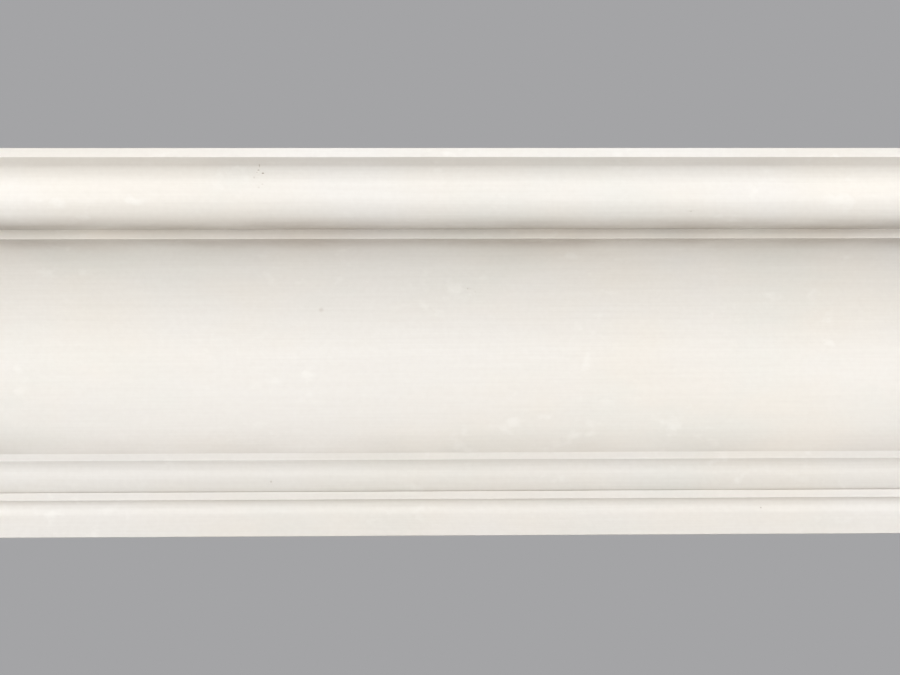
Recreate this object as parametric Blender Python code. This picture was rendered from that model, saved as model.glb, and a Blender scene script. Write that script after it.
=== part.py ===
"""Crown moulding length: one solid run of moulding, cut square at both ends.

Frame: X runs along the moulding, the wall is the plane Y = 0 and the moulding
stands out from it towards -Y, and +Z is up, to the ceiling. The origin is at the
centre of the face that lies against the wall. Sizes are in metres.
"""

import math

import bmesh
import bpy

# Length of the run, between its two square cuts
LENGTH = 0.386

# Members of the face, from the ceiling down to the wall. A height is that of an
# upright face, an underside or a ledge is how far the next member stands in or out,
# and a lean is the angle, in degrees, at which a member starts, turns or ends.
TOP_FILLET_HEIGHT = 0.0050
TOP_FILLET_UNDERSIDE = 0.0050
CROWN_HOLLOW_RADIUS = 0.0096
CROWN_HOLLOW_LEAN = -87.0
CROWN_SLOPE_LEAN = -38.0
CROWN_SLOPE = 0.0049
CROWN_ROUND_RADIUS = 0.0120
CROWN_UNDERCUT_LEAN = -127.0
CROWN_UNDERCUT = 0.0075
NECK_FILLET_HEIGHT = 0.0050
COVE_THROAT_RADIUS = 0.0180
COVE_THROAT_LEAN = -127.0
COVE_SHOULDER_LEAN = -88.0
COVE_RADIUS = 0.0539
COVE_FOOT_LEAN = 17.0
COVE_LEDGE = 0.0052
COVE_FILLET_HEIGHT = 0.0038
OGEE_HOLLOW_RADIUS = 0.0078
OGEE_HOLLOW_LEAN = -83.0
OGEE_TURN_LEAN = -41.0
OGEE_ROUND_RADIUS = 0.0139
OGEE_FOOT_LEAN = -82.0
OGEE_LEDGE = 0.0018
OGEE_FILLET_HEIGHT = 0.0040
BAND_HOLLOW_RADIUS = 0.0043
BAND_HOLLOW_LEAN = -100.0
BAND_HEIGHT = 0.0103

# Back and edges, which are plain: the edge of the band that meets the wall, how far
# its underside rises on the way there, and the thinnest place, behind the cove.
FOOT_THICKNESS = 0.0060
FOOT_UNDERCUT = 0.0040
COVE_BACKING = 0.0075

# Turn between two facets on the round members, and the least turn that makes an
# arris, in degrees
FACET_TURN = 2.5
ARRIS_TURN = 10.0

# Lean of an upright face
UPRIGHT = 0.0

# Cast plaster under warm white paint
PAINT_COLOUR = (0.815, 0.775, 0.715, 1.0)
PAINT_ROUGHNESS = 0.4

NODE_NAME = "crown_moulding_length"


def line_to(points, inwards, upwards):
    """Adds a corner at this distance from the last one: inwards is towards the wall."""
    across, height = points[-1]
    points.append((across + inwards, height + upwards))


def slope_to(points, length, lean):
    """Adds a straight member of this length, whose face has this lean in degrees."""
    turn = math.radians(lean)
    line_to(points, -length * math.sin(turn), -length * math.cos(turn))


def arc_to(points, radius, start_lean, end_lean):
    """Adds a round member that starts at the last point.

    A lean is the angle of the face in degrees: 0 looks straight out from the wall,
    -90 straight down. Where the lean falls on the way down the member bulges, and
    where it rises the member is hollow.
    """
    bulge = 1.0 if end_lean < start_lean else -1.0
    start = math.radians(start_lean)
    across, height = points[-1]
    centre = (
        across + bulge * radius * math.cos(start),
        height - bulge * radius * math.sin(start),
    )
    facets = max(2, round(abs(end_lean - start_lean) / FACET_TURN))
    for number in range(1, facets + 1):
        lean = math.radians(start_lean + (end_lean - start_lean) * number / facets)
        points.append((
            centre[0] - bulge * radius * math.cos(lean),
            centre[1] + bulge * radius * math.sin(lean),
        ))


def face_outline():
    """Returns the face's corners and curve points, from the top fillet's upper arris
    at (0, 0) down to the lower arris of the flat band."""
    points = [(0.0, 0.0)]
    line_to(points, 0.0, -TOP_FILLET_HEIGHT)
    line_to(points, TOP_FILLET_UNDERSIDE, 0.0)
    arc_to(points, CROWN_HOLLOW_RADIUS, CROWN_HOLLOW_LEAN, CROWN_SLOPE_LEAN)
    slope_to(points, CROWN_SLOPE, CROWN_SLOPE_LEAN)
    arc_to(points, CROWN_ROUND_RADIUS, CROWN_SLOPE_LEAN, CROWN_UNDERCUT_LEAN)
    slope_to(points, CROWN_UNDERCUT, CROWN_UNDERCUT_LEAN)
    line_to(points, 0.0, -NECK_FILLET_HEIGHT)
    arc_to(points, COVE_THROAT_RADIUS, COVE_THROAT_LEAN, COVE_SHOULDER_LEAN)
    arc_to(points, COVE_RADIUS, COVE_SHOULDER_LEAN, COVE_FOOT_LEAN)
    line_to(points, -COVE_LEDGE, 0.0)
    line_to(points, 0.0, -COVE_FILLET_HEIGHT)
    arc_to(points, OGEE_HOLLOW_RADIUS, OGEE_HOLLOW_LEAN, OGEE_TURN_LEAN)
    arc_to(points, OGEE_ROUND_RADIUS, OGEE_TURN_LEAN, OGEE_FOOT_LEAN)
    line_to(points, -OGEE_LEDGE, 0.0)
    line_to(points, 0.0, -OGEE_FILLET_HEIGHT)
    arc_to(points, BAND_HOLLOW_RADIUS, BAND_HOLLOW_LEAN, UPRIGHT)
    line_to(points, 0.0, -BAND_HEIGHT)
    return points


def section():
    """Returns the closed section as (Y, Z) points, with the wall at Y = 0 and the
    centre of the wall face at Z = 0.

    The back slopes from the wall to the ceiling, parallel to the line that joins the
    first and last arris of the face, and as deep as the backing behind the cove needs.
    """
    points = face_outline()
    drop = -points[-1][1]
    reach = points[-1][0]
    span = math.hypot(drop, reach)
    depth = max((drop * across + reach * height) / span for across, height in points)
    back = (depth + COVE_BACKING) * span

    line_to(points, FOOT_THICKNESS, FOOT_UNDERCUT)
    wall, foot = points[-1]
    heel = (back - drop * wall) / reach
    points.append((wall, heel))
    points.append((back / drop, 0.0))

    centre = (foot + heel) / 2.0
    return [(across - wall, height - centre) for across, height in points]


def run_mesh(outline, length):
    """Carries a closed outline along X, centred on the origin, and closes both ends."""
    shape = bmesh.new()
    corners = [shape.verts.new((-length / 2.0, y, z)) for y, z in outline]
    end = shape.faces.new(corners)
    grown = bmesh.ops.extrude_face_region(shape, geom=[end])
    moved = [item for item in grown["geom"] if isinstance(item, bmesh.types.BMVert)]
    bmesh.ops.translate(shape, verts=moved, vec=(length, 0.0, 0.0))
    bmesh.ops.recalc_face_normals(shape, faces=shape.faces)
    mesh = bpy.data.meshes.new(NODE_NAME)
    shape.to_mesh(mesh)
    shape.free()
    mesh.shade_smooth()
    mesh.set_sharp_from_angle(angle=math.radians(ARRIS_TURN))
    return mesh


def painted_plaster():
    """Cast plaster under a coat of warm white paint."""
    material = bpy.data.materials.new("painted_plaster")
    material.use_nodes = True
    shader = material.node_tree.nodes["Principled BSDF"]
    shader.inputs["Base Color"].default_value = PAINT_COLOUR
    shader.inputs["Roughness"].default_value = PAINT_ROUGHNESS
    shader.inputs["Metallic"].default_value = 0.0
    return material


def main():
    for old in list(bpy.data.objects):
        bpy.data.objects.remove(old, do_unlink=True)
    mesh = run_mesh(section(), LENGTH)
    mesh.materials.append(painted_plaster())
    bpy.context.collection.objects.link(bpy.data.objects.new(NODE_NAME, mesh))


main()
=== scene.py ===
"""Looks of a run of crown moulding, cast in plaster and painted white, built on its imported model.

The face that shows, the plain back and the two sawn ends are one closed surface. Its outline is
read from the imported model, so it follows the model when a size changes.
"""

import math

import bmesh
import bpy
import numpy as np
from mathutils import Matrix, Vector


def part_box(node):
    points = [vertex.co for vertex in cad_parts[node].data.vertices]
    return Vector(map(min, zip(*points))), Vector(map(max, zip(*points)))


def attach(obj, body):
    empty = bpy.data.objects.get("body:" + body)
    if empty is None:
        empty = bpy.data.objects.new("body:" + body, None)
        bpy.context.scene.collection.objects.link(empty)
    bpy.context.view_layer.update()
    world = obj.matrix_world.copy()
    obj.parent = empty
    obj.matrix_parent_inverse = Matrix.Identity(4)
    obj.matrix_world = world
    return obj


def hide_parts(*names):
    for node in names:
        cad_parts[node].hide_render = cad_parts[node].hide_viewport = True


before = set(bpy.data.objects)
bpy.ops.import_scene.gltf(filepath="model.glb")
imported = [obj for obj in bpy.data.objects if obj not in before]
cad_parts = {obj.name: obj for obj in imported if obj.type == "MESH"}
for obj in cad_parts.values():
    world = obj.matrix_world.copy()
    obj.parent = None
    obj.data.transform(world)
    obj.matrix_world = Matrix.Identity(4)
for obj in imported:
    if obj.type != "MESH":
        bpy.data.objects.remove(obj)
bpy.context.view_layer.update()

bl_info = {
    "name": "Crown moulding length",
    "version": (1, 0, 0),
    "blender": (4, 5, 0),
    "location": "View3D > Sidebar > Moulding",
    "description": "Makes a painted plaster crown moulding and the studio that shows it",
    "category": "Object",
}

NODE = "crown_moulding_length"
MM = 0.001

# The photograph's frame, in pixels, and what a pixel covers at the middle of the picture
PHOTO_WIDTH = 900
PHOTO_HEIGHT = 675
PIXEL = 0.3985 * MM

# Width of the camera's sensor, in millimetres
SENSOR_MM = 36.0

# The row of the photograph on which the moulding's upper arris lies
TOP_ARRIS_ROW = 147.7

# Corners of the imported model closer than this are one, and faces that turn by less are one flat
MERGE_DISTANCE = 0.001 * MM
FLAT_TURN = math.radians(0.5)

# A corner of the outline that turns by more degrees than this is an arris
ARRIS_TURN = 10.0

# Samples in the width over which an arris is averaged, and the places of grid lines about it,
# in widths: from the flat on one side, over the round, to the flat on the other
MEAN_STEPS = 25
ARRIS_LINES = np.array([-0.8, -0.5, -0.33, -0.17, 0.0, 0.17, 0.33, 0.5, 0.8])

# Half the stretch over which the heading of the outline is taken, in arris widths
HEADING_STEP = 0.1

# Grid spacing along the run, and at the pits
RUN_SPACING = 2.4 * MM
PIT_SPACING = 0.16 * MM

# Waves of the unevenness: length along the run, waves down each metre of face, and phase in
# radians
WAVES = ((0.171, 6.0, 0.4), (0.083, -9.0, 2.1), (0.047, 14.0, 4.4))

# The unevenness fades out over this margin, so that the face keeps its outer arrises
WAVE_MARGIN = 6.0 * MM

# Painted shade on faces turned away from the main lamp: how far below level lies the
# direction that the faces are turned from, and how far a face is turned from it where the
# painted shade begins and where it lies in full: one minus the cosine
SHADE_DROP = math.radians(40.0)
SHADE_BEGINS = 0.20
SHADE_FULL = 0.62

# How far the paint laps round on to the back
PAINT_LAP = 4.0 * MM

# Band spacing of the wave texture at scale one
WAVE_UNIT = 2.0 * math.pi / 20.0

# Edges that turn by more degrees than this stay sharp: those of the two sawn ends
ARRIS_SHARP = 50.0

# Air pits, at pixels of the photograph: column, row, half-length along the run and half-width
# down the face in millimetres, and share of the full depth
PITS = np.array([
    # A cluster high on the crown
    (259.3, 165.8, 0.28, 1.20, 0.5),
    (258.3, 170.4, 0.60, 0.35, 0.5),
    (256.7, 172.6, 0.40, 0.30, 0.3),
    (262.8, 173.5, 0.65, 0.42, 0.8),
    (253.9, 177.6, 0.30, 0.65, 0.25),
    (262.1, 184.4, 0.60, 0.35, 0.15),
    (258.5, 187.7, 0.60, 0.40, 0.15),
    # Two in the upper cove
    (467.3, 289.0, 0.25, 0.25, 0.7),
    (475.0, 292.0, 0.25, 0.25, 0.3),
    # One each low on the crown, on the band and on the ogee
    (691.0, 211.5, 0.27, 0.27, 0.5),
    (760.8, 507.6, 0.26, 0.26, 0.9),
    (271.0, 482.0, 0.30, 0.30, 0.6),
    # A shallow dent in the cove, which shows as a faint smudge
    (321.0, 310.0, 1.50, 1.40, 0.14),
])

# Clouds in the paint: size across the run, length in sizes, detail, and the noise levels
# between which the share rises from 0 to 1
PAINT_CLOUDS = {
    "warm": (60.0 * MM, 1.5, 3.0, 0.42, 0.62),
    "cool": (38.0 * MM, 2.0, 3.0, 0.50, 0.68),
    "mottle": (2.2 * MM, 1.0, 4.0, 0.30, 0.70),
    "brush": (1.2 * MM, 50.0, 3.0, 0.30, 0.70),
    "speck": (6.0 * MM, 1.3, 3.0, 0.56, 0.70),
    "group": (34.0 * MM, 1.0, 2.0, 0.52, 0.60),
    # A cloud that breaks up the dust and the painted shade on faces turned from the main lamp
    "dust_and_shade": (20.0 * MM, 2.0, 4.0, 0.10, 0.70),
    "ragged": (3.0 * MM, 2.0, 4.0, 0.30, 0.70),
    "chalk": (22.0 * MM, 1.0, 6.0, 0.30, 0.70),
    "crust": (7.0 * MM, 1.0, 6.0, 0.20, 0.80),
}

# Layers over the paint, from the first to the last: share, how strong the layer is where its
# share is full, and colour. Dust fills a pit from half its depth on. The dust-coloured layer on
# faces turned away from the main lamp is painted shade, broken up by a dust cloud.
PAINT_LAYERS = (
    ("warm", 0.55, "warm"),
    ("cool", 0.7, "cool"),
    ("mottle", 0.05, "dust_and_shade"),
    ("brush", 0.05, "dust_and_shade"),
    ("fleck", 0.35, "fleck"),
    # Painted shade: faces turned from the main lamp, darkened towards the dust colour in clouds
    ("dust_and_painted_shade", 0.65, "dust_and_shade"),
    ("pit", 2.0, "dust_and_shade"),
    ("bare", 1.0, "bare"),
    ("chalky", 0.7, "chalk"),
)

# Depth of the brush lines, of the mottling in the paint and of the crust on bare plaster
BRUSH_DEPTH = 0.018 * MM
MOTTLE_DEPTH = 0.020 * MM
CRUST_DEPTH = 0.25 * MM

# Where the paint ends on the back: how far its ragged edge wanders, in laps, and the shares
# below which the plaster is bare and above which it is covered
RAGGED_LAP = 0.6
BARE_BELOW = 0.75
PAINTED_ABOVE = 0.85

# Roughness of the paint, from its smoother to its rougher spots, and of bare plaster
PAINT_ROUGHNESS = (0.38, 0.50)
PLASTER_ROUGHNESS = 0.88

# Sawn ends: their clouds and layers, given as those of the paint
SAWN_CLOUDS = {"chalk": (9.0 * MM, 1.0, 5.0, 0.35, 0.65)}
SAWN_LAYERS = (("chalk", 1.0, "chalk"), ("pore", 0.7, "dust_and_shade"))

# Kerf lines of the sawn ends: spacing, depth, turn, and the wave texture's settings for how
# they wander
KERF_SPACING = 1.1 * MM
KERF_DEPTH = 0.05 * MM
KERF_TURN = math.radians(28.0)
KERF_WANDER = {"Distortion": 2.5, "Detail": 2.0, "Detail Scale": 0.6}

# Pores of the sawn ends: spacing, depth, and how far from its middle, in spacings, a pore
# begins and ends to fade
PORE_SPACING = 2.6 * MM
PORE_DEPTH = 0.2 * MM
PORE_EDGE = (0.07, 0.13)

# Sockets of the Mix node by number, as their names repeat: the share, the two values or
# colours that it mixes, and the colour that comes out
MIX_SHARE = 0
MIX_VALUES = (2, 3)
MIX_COLOURS = (6, 7)
MIXED_COLOUR = 2

# The floor: side of its square, roughness, and its clouds and layers, given as those of the
# paint
FLOOR_SIZE = 30.0
FLOOR_ROUGHNESS = 0.8
FLOOR_CLOUDS = {"cloud": (0.7, 1.0, 3.0, 0.3, 0.7)}
FLOOR_LAYERS = (("cloud", 0.05, "backdrop"),)

# Soft lights: azimuth and elevation in degrees, distance, width and height in metres, watts
LIGHTS = {
    "front": (0.0, -37.5, 1.6, (1.4, 0.4), 7.9),
    "low": (0.0, -63.0, 1.6, (1.4, 0.4), 1.1),
    "upper": (0.0, -6.5, 1.6, (1.4, 0.4), 1.6),
    "left": (-51.9, -13.3, 0.5, (0.35, 0.15), 0.60),
    "right": (50.7, -8.3, 0.5, (0.35, 0.15), 0.62),
    "middle": (0.0, 1.0, 0.5, (0.35, 0.15), 0.24),
    "top": (0.0, 51.0, 0.5, (0.35, 0.15), 0.50),
    "back": (180.0, 35.0, 2.0, (1.4, 1.0), 22.0),
}


def linear(hex_colour):
    """sRGB hex value to linear red, green and blue: below 0.04045 a value is divided by 12.92,
    above it the value plus 0.055, over 1.055, is raised to the power 2.4."""
    parts = np.array([int(hex_colour[at:at + 2], 16) for at in (1, 3, 5)]) / 255.0
    return tuple(np.where(parts <= 0.04045, parts / 12.92, ((parts + 0.055) / 1.055) ** 2.4))


class MouldingFinish(bpy.types.PropertyGroup):
    """Sizes and colours of the cast surface and its paint."""

    arris_width: bpy.props.FloatProperty(
        name="Arris width", description="Width over which paint and wear round an arris",
        default=0.5 * MM, min=0.2 * MM, max=3.0 * MM, unit="LENGTH")
    unevenness: bpy.props.FloatProperty(
        name="Unevenness", description="Depth of the slow waves that a hand-run face keeps",
        default=0.10 * MM, min=0.0, max=1.0 * MM, unit="LENGTH")
    pit_depth: bpy.props.FloatProperty(
        name="Pit depth", description="Depth of the air pits left in the cast",
        default=0.45 * MM, min=0.0, max=2.0 * MM, unit="LENGTH")
    paint: bpy.props.FloatVectorProperty(
        name="Paint", description="Colour of the paint coat",
        default=linear("#EBE8E3"), min=0.0, max=1.0, subtype="COLOR")
    warm: bpy.props.FloatVectorProperty(
        name="Warm patches", description="Colour where the paint has yellowed",
        default=linear("#ECE6DC"), min=0.0, max=1.0, subtype="COLOR")
    cool: bpy.props.FloatVectorProperty(
        name="Cool patches", description="Colour where the plaster shows a little through the paint",
        default=linear("#E7E6E0"), min=0.0, max=1.0, subtype="COLOR")
    fleck: bpy.props.FloatVectorProperty(
        name="Flecks", description="Colour of the small pale places where the paint was rubbed down",
        default=linear("#F7F5F0"), min=0.0, max=1.0, subtype="COLOR")
    # Colour of real dust in the paint and pits, and of the painted shade on faces turned from the
    # main lamp
    dust_and_shade: bpy.props.FloatVectorProperty(
        name="Dust", description="Colour of the dust that clings to sheltered faces and fills pits",
        default=linear("#B3A79B"), min=0.0, max=1.0, subtype="COLOR")
    bare: bpy.props.FloatVectorProperty(
        name="Bare plaster", description="Colour of the unpainted back and ends",
        default=linear("#DEDAD3"), min=0.0, max=1.0, subtype="COLOR")
    chalk: bpy.props.FloatVectorProperty(
        name="Chalk", description="Colour of the paler clouds in the bare plaster",
        default=linear("#E9E6E0"), min=0.0, max=1.0, subtype="COLOR")


class MouldingStudio(bpy.types.PropertyGroup):
    """Where the camera stands and what lies around the moulding."""

    azimuth: bpy.props.FloatProperty(
        name="Azimuth", description="How far the camera stands to the side",
        default=math.radians(-2.7), subtype="ANGLE", unit="ROTATION")
    elevation: bpy.props.FloatProperty(
        name="Elevation", description="How far above level the camera stands",
        default=math.radians(-39.0), subtype="ANGLE", unit="ROTATION")
    roll: bpy.props.FloatProperty(
        name="Roll", description="How far the camera leans to one side",
        default=math.radians(-0.15), subtype="ANGLE", unit="ROTATION")
    distance: bpy.props.FloatProperty(
        name="Distance", description="From the camera to the middle of what it sees",
        default=1.1, min=0.3, max=10.0, unit="LENGTH")
    floor_drop: bpy.props.FloatProperty(
        name="Floor drop", description="Height of the moulding above the floor",
        default=1.5, min=0.2, max=4.0, unit="LENGTH")
    backdrop: bpy.props.FloatVectorProperty(
        name="Backdrop", description="Colour of the plain room around the moulding",
        default=linear("#A4A4A6"), min=0.0, max=1.0, subtype="COLOR")
    floor: bpy.props.FloatVectorProperty(
        name="Floor", description="Colour of the floor",
        default=linear("#E6E4DF"), min=0.0, max=1.0, subtype="COLOR")


def end_outline(node):
    """Corners of the model's outline, as (Y, Z) rows in order round its lower X end.

    The flat triangles of a copy are merged, so that the end cap is one face, whose corners
    come in order.
    """
    shape = bmesh.new()
    shape.from_mesh(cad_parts[node].data)
    bmesh.ops.remove_doubles(shape, verts=shape.verts, dist=MERGE_DISTANCE)
    bmesh.ops.dissolve_limit(
        shape, angle_limit=FLAT_TURN, verts=shape.verts, edges=shape.edges)
    cap = min(shape.faces, key=lambda face: face.calc_center_median().x)
    corners = np.array([vert.co for vert in cap.verts])[:, 1:]
    shape.free()
    return corners


def make_mesh(name, points, faces, materials):
    """A smooth-shaded mesh object from whole arrays of points and a list of faces."""
    mesh = bpy.data.meshes.new(name)
    mesh.from_pydata(points.reshape(-1, 3), [], faces)
    for material in materials:
        mesh.materials.append(material)
    mesh.polygons.foreach_set("use_smooth", np.ones(len(mesh.polygons), bool))
    mesh.update()
    piece = bpy.data.objects.new(name, mesh)
    bpy.context.collection.objects.link(piece)
    return piece


def studio_axes(azimuth, elevation):
    """Right, up and back vectors of something that looks at the moulding: back points from the
    moulding to it, at this azimuth and elevation, and right stays level."""
    back = Vector((
        math.sin(azimuth) * math.cos(elevation),
        -math.cos(azimuth) * math.cos(elevation),
        math.sin(elevation),
    ))
    right = Vector((math.cos(azimuth), math.sin(azimuth), 0.0))
    return right, back.cross(right), back


def camera_place(studio):
    """Where the camera stands, what it looks at and its axes.

    It is turned about its line of sight until the run lies level in the picture, and by the
    roll besides. It looks at the point below the upper arris that puts the arris on its row
    of the photograph.
    """
    right, up, back = studio_axes(studio.azimuth, studio.elevation)
    turn = Matrix.Rotation(math.atan2(up.x, right.x) + studio.roll, 3, back)
    right, up = turn @ right, turn @ up
    low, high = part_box(NODE)
    arris = Vector((0.0, low.y, high.z))
    target = arris - up * ((PHOTO_HEIGHT / 2.0 - TOP_ARRIS_ROW) * PIXEL)
    return target + back * studio.distance, target, (right, up, back)


class Outline:
    """The closed outline of the moulding, measured along its own length.

    It starts at the upper arris and runs down the face, across the foot and up the back.
    """

    def __init__(self, node, arris_width):
        corners = end_outline(node)
        area = np.sum(corners[:, 0] * np.roll(corners[:, 1], -1)
                      - corners[:, 1] * np.roll(corners[:, 0], -1))
        if area < 0.0:
            corners = corners[::-1]
        start = np.argmax(corners[:, 1] - corners[:, 0])
        self.corners = np.roll(corners, -start, axis=0)
        sides = np.roll(self.corners, -1, axis=0) - self.corners
        lengths = np.hypot(sides[:, 0], sides[:, 1])
        self.places = np.concatenate([[0.0], np.cumsum(lengths)[:-1]])
        self.length = lengths.sum()
        self.foot = self.places[np.argmin(self.corners[:, 1])]
        self.arris_width = arris_width
        headings = np.degrees(np.arctan2(sides[:, 1], sides[:, 0]))
        turns = (headings - np.roll(headings, 1) + 180.0) % 360.0 - 180.0
        self.arrises = self.places[np.abs(turns) > ARRIS_TURN]

    def sharp(self, places):
        """Points of the model's outline at these distances along it, by straight interpolation."""
        y = np.interp(places, self.places, self.corners[:, 0], period=self.length)
        z = np.interp(places, self.places, self.corners[:, 1], period=self.length)
        return np.stack([y, z], axis=-1)

    def mean(self, places, width):
        """Points of the outline averaged over a width about each place: an arris turns into a
        round of that width, and a straight side stays as it is."""
        steps = np.linspace(-0.5, 0.5, MEAN_STEPS)[:, None] * width
        return self.sharp(places + steps).mean(axis=0)

    def normals(self, places):
        """Outward normals: the direction of the rounded outline, turned back a quarter turn."""
        step = HEADING_STEP * self.arris_width
        along = (self.mean(places + step, self.arris_width)
                 - self.mean(places - step, self.arris_width))
        along /= np.hypot(along[:, 0], along[:, 1])[:, None]
        return np.stack([along[:, 1], -along[:, 0]], axis=-1)


def mark_places(outline, pixels, studio):
    """Where marks seen at pixels of the photograph lie: the distance along the run and along
    the outline.

    The line of sight through each pixel is cut with every side of the outline, seen along the
    run: the nearest cut in front of the camera is the place.
    """
    eye, _, (right, up, back) = camera_place(studio)
    across = (pixels[:, 0] - PHOTO_WIDTH / 2.0) * PIXEL
    rise = (PHOTO_HEIGHT / 2.0 - pixels[:, 1]) * PIXEL
    sight = (across[:, None] * np.array(right) + rise[:, None] * np.array(up)
             - studio.distance * np.array(back))
    start = outline.corners - np.array(eye)[1:]
    side = np.roll(outline.corners, -1, axis=0) - outline.corners
    ray = sight[:, None, 1:]
    spread = ray[..., 0] * side[:, 1] - ray[..., 1] * side[:, 0]
    reach = (start[:, 0] * side[:, 1] - start[:, 1] * side[:, 0]) / spread
    share = (start[:, 0] * ray[..., 1] - start[:, 1] * ray[..., 0]) / spread
    reach = np.where((share >= 0.0) & (share <= 1.0) & (reach > 0.0), reach, np.inf)
    nearest = np.argmin(reach, axis=1)
    rows = np.arange(len(pixels))
    reach, share = reach[rows, nearest], share[rows, nearest]
    along = eye.x + reach * sight[:, 0]
    lengths = np.hypot(side[:, 0], side[:, 1])
    return along, outline.places[nearest] + share * lengths[nearest]


def spaced(coarse, marks, reach, fine):
    """Grid lines: the coarse ones, and lines at the fine spacing over the reach of each mark.
    A line that falls closer to one before it than half the fine spacing is left out."""
    coarse = np.sort(coarse)
    coarse = coarse[np.append(True, np.diff(coarse) > 0.5 * fine)]
    steps = np.arange(-1.0, 1.0 + fine / reach.max(), fine / reach.max())
    close = marks[:, None] + reach[:, None] * steps
    close = np.unique(np.round(close / fine)) * fine
    gaps = np.abs(close[:, None] - coarse).min(axis=1)
    return np.sort(np.concatenate([coarse, close[gaps > 0.5 * fine]]))


def slow_waves(along, places, height):
    """Unevenness of a face run by hand, from 0 to height: the mean of three sine waves of
    lengths that don't divide each other, whose phases drift down the face."""
    total = np.zeros(np.broadcast(along, places).shape)
    for length, drift, phase in WAVES:
        total += np.sin(2.0 * math.pi * (along / length + places * drift) + phase)
    return height * (0.5 + 0.5 * total / len(WAVES))


def run_surface(outline, finish, studio):
    """Grid of the closed surface: along the run by along the outline, with the share of each
    point that is pit, that takes painted shade, and that is painted.

    A point is the rounded outline, moved inwards by the unevenness and by the pits. A pit is
    a bowl: one minus the squared distance from its middle, in half-lengths, all squared. A
    point takes painted shade by as much as its face is turned away from the main lamp.
    """
    low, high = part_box(NODE)
    pixels, sizes, shares = PITS[:, :2], PITS[:, 2:4] * MM, PITS[:, 4]
    pit_along, pit_places = mark_places(outline, pixels, studio)
    count = round((high.x - low.x) / RUN_SPACING)
    along = spaced(np.linspace(low.x, high.x, count + 1), pit_along, sizes[:, 0], PIT_SPACING)
    arris_lines = (outline.arrises[:, None] + ARRIS_LINES * outline.arris_width).ravel()
    lines = np.concatenate([outline.places, arris_lines]) % outline.length
    places = spaced(lines, pit_places, sizes[:, 1], PIT_SPACING)

    across = along[:, None, None] - pit_along
    down = places[None, :, None] - pit_places
    spread = (across / sizes[:, 0]) ** 2 + (down / sizes[:, 1]) ** 2
    pit = (shares * np.clip(1.0 - spread, 0.0, 1.0) ** 2).max(axis=2)

    beyond = np.minimum(np.abs(places - outline.foot), outline.length - places)
    face = (places < outline.foot).astype(float)
    waves = slow_waves(along[:, None], places[None, :], finish.unevenness)
    waves *= face * np.clip(beyond / WAVE_MARGIN, 0.0, 1.0)
    depth = waves + finish.pit_depth * pit

    section = outline.mean(places, outline.arris_width)
    normals = outline.normals(places)
    inner = section[None, :, :] - normals[None, :, :] * depth[:, :, None]
    points = np.empty((len(along), len(places), 3))
    points[:, :, 0] = along[:, None]
    points[:, :, 1:] = inner

    # Painted shade: the more a face turns away from the main lamp, the larger its share
    turned = 1.0 + normals @ np.array([math.cos(SHADE_DROP), math.sin(SHADE_DROP)])
    painted_shade = np.clip((turned - SHADE_BEGINS) / (SHADE_FULL - SHADE_BEGINS), 0.0, 1.0)
    painted = np.where(face > 0.5, 1.0, 1.0 - beyond / PAINT_LAP)
    rows = np.ones((len(along), 1))
    return points, {"pit": pit, "painted_shade": painted_shade * rows, "painted": painted * rows}


def run_faces(stations, lines):
    """Quads between neighbouring grid lines, closed round the outline, and one many-sided
    face at each end."""
    corner = np.arange(stations * lines).reshape(stations, lines)
    after = np.roll(corner, -1, axis=1)
    quads = np.stack([corner[:-1], after[:-1], after[1:], corner[1:]], axis=-1).reshape(-1, 4)
    ends = [corner[0, ::-1].tolist(), corner[-1].tolist()]
    return quads.tolist() + ends


class MOULDING_OT_run(bpy.types.Operator):
    """Makes the run of moulding in place of its plain solid"""

    bl_idname = "moulding.make_run"
    bl_label = "Moulding run"

    def execute(self, context):
        scene = context.scene
        finish, studio = scene.moulding_finish, scene.moulding_studio
        outline = Outline(NODE, finish.arris_width)
        points, shares = run_surface(outline, finish, studio)
        stations, lines = points.shape[:2]
        materials = [painted_plaster(finish), sawn_plaster(finish)]
        piece = make_mesh("plaster_moulding", points, run_faces(stations, lines), materials)
        mesh = piece.data
        # The two ends are the last faces, and take the second material
        sawn = np.zeros(len(mesh.polygons), int)
        sawn[-2:] = 1
        mesh.polygons.foreach_set("material_index", sawn)
        mesh.set_sharp_from_angle(angle=math.radians(ARRIS_SHARP))
        for name, share in shares.items():
            attribute = mesh.attributes.new(name, "FLOAT", "POINT")
            attribute.data.foreach_set("value", share.ravel().astype(np.float32))
        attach(piece, "root")
        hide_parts(NODE)
        return {"FINISHED"}


def add_node(tree, kind, inputs, **settings):
    """Adds one shader node with its settings. An input, given by name or number, gets a link
    where its value is another node's output, and is set to the value otherwise."""
    node = tree.nodes.new("ShaderNode" + kind)
    for name, value in settings.items():
        setattr(node, name, value)
    for name, value in inputs.items():
        if isinstance(value, bpy.types.NodeSocket):
            tree.links.new(value, node.inputs[name])
        else:
            node.inputs[name].default_value = value
    return node


def empty_material(name):
    """A material whose node tree is still empty."""
    material = bpy.data.materials.new(name)
    material.use_nodes = True
    material.node_tree.nodes.clear()
    return material


def cloud_shares(tree, clouds):
    """The cloud patterns of a material by name: each is a share that goes from 0 to 1 where
    the noise rises from its low to its high level."""
    place = add_node(tree, "TexCoord", {}).outputs["Object"]
    shares = {}
    for name, (size, stretch, detail, low, high) in clouds.items():
        drawn = add_node(tree, "Mapping", {"Vector": place, "Scale": (1.0 / stretch, 1.0, 1.0)})
        noise = add_node(tree, "TexNoise", {
            "Vector": drawn.outputs["Vector"], "Scale": 1.0 / size, "Detail": detail})
        risen = add_node(tree, "MapRange", {
            "Value": noise.outputs["Fac"], "From Min": low, "From Max": high})
        shares[name] = risen.outputs["Result"]
    return shares


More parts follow.
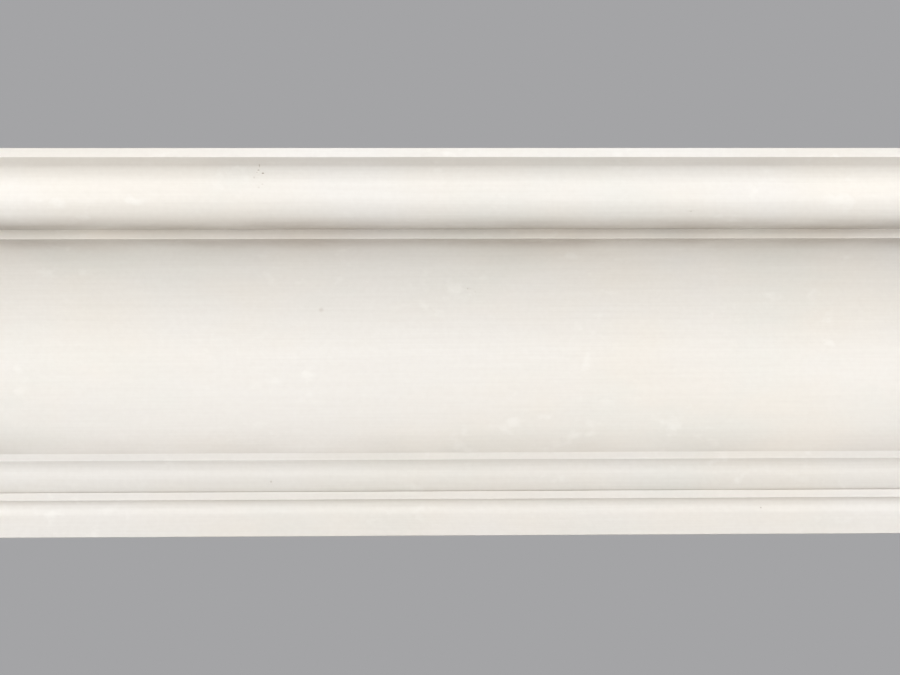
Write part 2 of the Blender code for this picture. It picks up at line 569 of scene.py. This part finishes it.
def laid_over(tree, ground, shares, layers, colours):
    """Colour of the ground with each layer over it. A layer's colour is looked up by its name
    in the property group that holds the colours."""
    below, above = MIX_COLOURS
    colour = (*ground, 1.0)
    for name, strength, tint in layers:
        cover = add_node(tree, "Math", {0: shares[name], 1: strength},
                         operation="MULTIPLY", use_clamp=True)
        laid = add_node(tree, "Mix", {
            MIX_SHARE: cover.outputs[0], below: colour, above: (*getattr(colours, tint), 1.0)},
            data_type="RGBA")
        colour = laid.outputs[MIXED_COLOUR]
    return colour


def painted_plaster(finish):
    """Cast plaster under brushed oil paint: a soft sheen over a faintly mottled warm white.

    The sheen is the paint's. Its warm and cool patches, the pale flecks where it was rubbed
    down and the brush lines along the run are what the eye finds on it up close. Dust fills
    the pits. The faces turned away from the main lamp are greyed with painted shade, broken
    up by a dust cloud. Round the back the paint stops at a ragged edge, and the plaster is
    bare and chalky.
    """
    material = empty_material("painted_plaster")
    tree = material.node_tree
    shares = cloud_shares(tree, PAINT_CLOUDS)
    # Among these, the share of faces turned from the main lamp is painted shade
    for name in ("pit", "painted_shade", "painted"):
        shares[name] = add_node(tree, "Attribute", {}, attribute_name=name).outputs["Fac"]
    edge = add_node(tree, "Math", {0: shares["ragged"], 1: RAGGED_LAP, 2: shares["painted"]},
                    operation="MULTIPLY_ADD")
    bare = add_node(tree, "MapRange", {
        "Value": edge.outputs[0], "From Min": BARE_BELOW, "From Max": PAINTED_ABOVE,
        "To Min": 1.0, "To Max": 0.0})
    shares["bare"] = bare.outputs["Result"]
    # The dust cloud times the share of faces turned from the main lamp makes the painted shade layer
    for name, first, second in (
            ("fleck", "speck", "group"), ("dust_and_painted_shade", "dust_and_shade", "painted_shade"),
            ("chalky", "chalk", "bare"), ("crusty", "crust", "bare")):
        both = add_node(tree, "Math", {0: shares[first], 1: shares[second]}, operation="MULTIPLY")
        shares[name] = both.outputs[0]

    colour = laid_over(tree, finish.paint, shares, PAINT_LAYERS, finish)
    smoother, rougher = PAINT_ROUGHNESS
    sheen = add_node(tree, "MapRange", {
        "Value": shares["mottle"], "To Min": smoother, "To Max": rougher})
    covered, uncovered = MIX_VALUES
    rough = add_node(tree, "Mix", {
        MIX_SHARE: shares["bare"], covered: sheen.outputs["Result"],
        uncovered: PLASTER_ROUGHNESS}, data_type="FLOAT")
    raised = add_node(tree, "Bump", {"Height": shares["brush"], "Distance": BRUSH_DEPTH})
    for name, depth in (("mottle", MOTTLE_DEPTH), ("crusty", CRUST_DEPTH)):
        raised = add_node(tree, "Bump", {
            "Height": shares[name], "Distance": depth, "Normal": raised.outputs["Normal"]})
    shader = add_node(tree, "BsdfPrincipled", {
        "Base Color": colour, "Roughness": rough.outputs[0], "Normal": raised.outputs["Normal"]})
    add_node(tree, "OutputMaterial", {"Surface": shader.outputs["BSDF"]})
    return material


def sawn_plaster(finish):
    """Bare cast plaster as a saw leaves it: matt and chalky, with fine kerf lines and pores."""
    material = empty_material("sawn_plaster")
    tree = material.node_tree
    shares = cloud_shares(tree, SAWN_CLOUDS)
    place = add_node(tree, "TexCoord", {}).outputs["Object"]
    cells = add_node(tree, "TexVoronoi", {"Vector": place, "Scale": 1.0 / PORE_SPACING})
    full, faded = PORE_EDGE
    pore = add_node(tree, "MapRange", {
        "Value": cells.outputs["Distance"], "From Min": full, "From Max": faded,
        "To Min": 1.0, "To Max": 0.0})
    shares["pore"] = pore.outputs["Result"]
    colour = laid_over(tree, finish.bare, shares, SAWN_LAYERS, finish)
    turned = add_node(tree, "Mapping", {"Vector": place, "Rotation": (KERF_TURN, 0.0, 0.0)})
    kerf = add_node(tree, "TexWave", {
        "Vector": turned.outputs["Vector"], "Scale": WAVE_UNIT / KERF_SPACING, **KERF_WANDER},
        bands_direction="Z")
    raised = add_node(tree, "Bump", {"Height": kerf.outputs["Fac"], "Distance": KERF_DEPTH})
    sunk = add_node(tree, "Bump", {
        "Height": shares["pore"], "Distance": PORE_DEPTH, "Normal": raised.outputs["Normal"]},
        invert=True)
    shader = add_node(tree, "BsdfPrincipled", {
        "Base Color": colour, "Roughness": PLASTER_ROUGHNESS, "Normal": sunk.outputs["Normal"]})
    add_node(tree, "OutputMaterial", {"Surface": shader.outputs["BSDF"]})
    return material


def matt_floor(studio):
    """Matt painted boards, with only the faintest cloudiness."""
    material = empty_material("matt_floor_paint")
    tree = material.node_tree
    shares = cloud_shares(tree, FLOOR_CLOUDS)
    colour = laid_over(tree, studio.floor, shares, FLOOR_LAYERS, studio)
    shader = add_node(tree, "BsdfPrincipled", {
        "Base Color": colour, "Roughness": FLOOR_ROUGHNESS})
    add_node(tree, "OutputMaterial", {"Surface": shader.outputs["BSDF"]})
    return material


def soft_light(name, target, azimuth, elevation, distance, size, power):
    """A rectangular light that looks at the target from this direction, given in degrees, and
    distance. The camera doesn't see it."""
    right, up, back = studio_axes(math.radians(azimuth), math.radians(elevation))
    data = bpy.data.lights.new(name, "AREA")
    data.shape = "RECTANGLE"
    data.size, data.size_y = size
    data.energy = power
    light = bpy.data.objects.new(name, data)
    place = Matrix.Translation(target + back * distance)
    light.matrix_world = place @ Matrix((right, up, back)).transposed().to_4x4()
    light.visible_camera = False
    bpy.context.collection.objects.link(light)


class MOULDING_OT_stage(bpy.types.Operator):
    """Sets up the floor, the room, the lights and the camera"""

    bl_idname = "moulding.set_stage"
    bl_label = "Studio"

    def execute(self, context):
        scene = context.scene
        studio = scene.moulding_studio
        eye, target, axes = camera_place(studio)
        data = bpy.data.cameras.new("camera")
        data.sensor_width = SENSOR_MM
        data.lens = SENSOR_MM * studio.distance / (PHOTO_WIDTH * PIXEL)
        camera = bpy.data.objects.new("camera", data)
        camera.matrix_world = Matrix.Translation(eye) @ Matrix(axes).transposed().to_4x4()
        context.collection.objects.link(camera)
        scene.camera = camera

        low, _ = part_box(NODE)
        edge = FLOOR_SIZE / 2.0
        height = low.z - studio.floor_drop
        corners = np.array([(-edge, -edge, height), (edge, -edge, height),
                            (edge, edge, height), (-edge, edge, height)])
        floor = make_mesh("floor", corners, [(0, 1, 2, 3)], [matt_floor(studio)])

        for name, (azimuth, elevation, distance, size, power) in LIGHTS.items():
            soft_light(name, target, azimuth, elevation, distance, size, power)

        world = bpy.data.worlds.new("plain_room")
        world.use_nodes = True
        world.node_tree.nodes["Background"].inputs["Color"].default_value = (*studio.backdrop, 1.0)
        scene.world = world
        scene.view_settings.view_transform = "Standard"
        return {"FINISHED"}


class MOULDING_PT_panel(bpy.types.Panel):
    """Lists the sizes, colours and steps of the moulding"""

    bl_idname = "MOULDING_PT_panel"
    bl_label = "Crown moulding"
    bl_space_type = "VIEW_3D"
    bl_region_type = "UI"
    bl_category = "Moulding"

    def draw(self, context):
        layout = self.layout
        for group in (context.scene.moulding_finish, context.scene.moulding_studio):
            column = layout.column()
            for name in group.__annotations__:
                column.prop(group, name)
        layout.operator(MOULDING_OT_run.bl_idname)
        layout.operator(MOULDING_OT_stage.bl_idname)


CLASSES = (MouldingFinish, MouldingStudio, MOULDING_OT_run, MOULDING_OT_stage, MOULDING_PT_panel)


def register():
    for kind in CLASSES:
        bpy.utils.register_class(kind)
    bpy.types.Scene.moulding_finish = bpy.props.PointerProperty(type=MouldingFinish)
    bpy.types.Scene.moulding_studio = bpy.props.PointerProperty(type=MouldingStudio)


def unregister():
    del bpy.types.Scene.moulding_studio
    del bpy.types.Scene.moulding_finish
    for kind in reversed(CLASSES):
        bpy.utils.unregister_class(kind)


def main():
    register()
    bpy.ops.moulding.make_run()
    bpy.ops.moulding.set_stage()


if __name__ == "__main__":
    main()
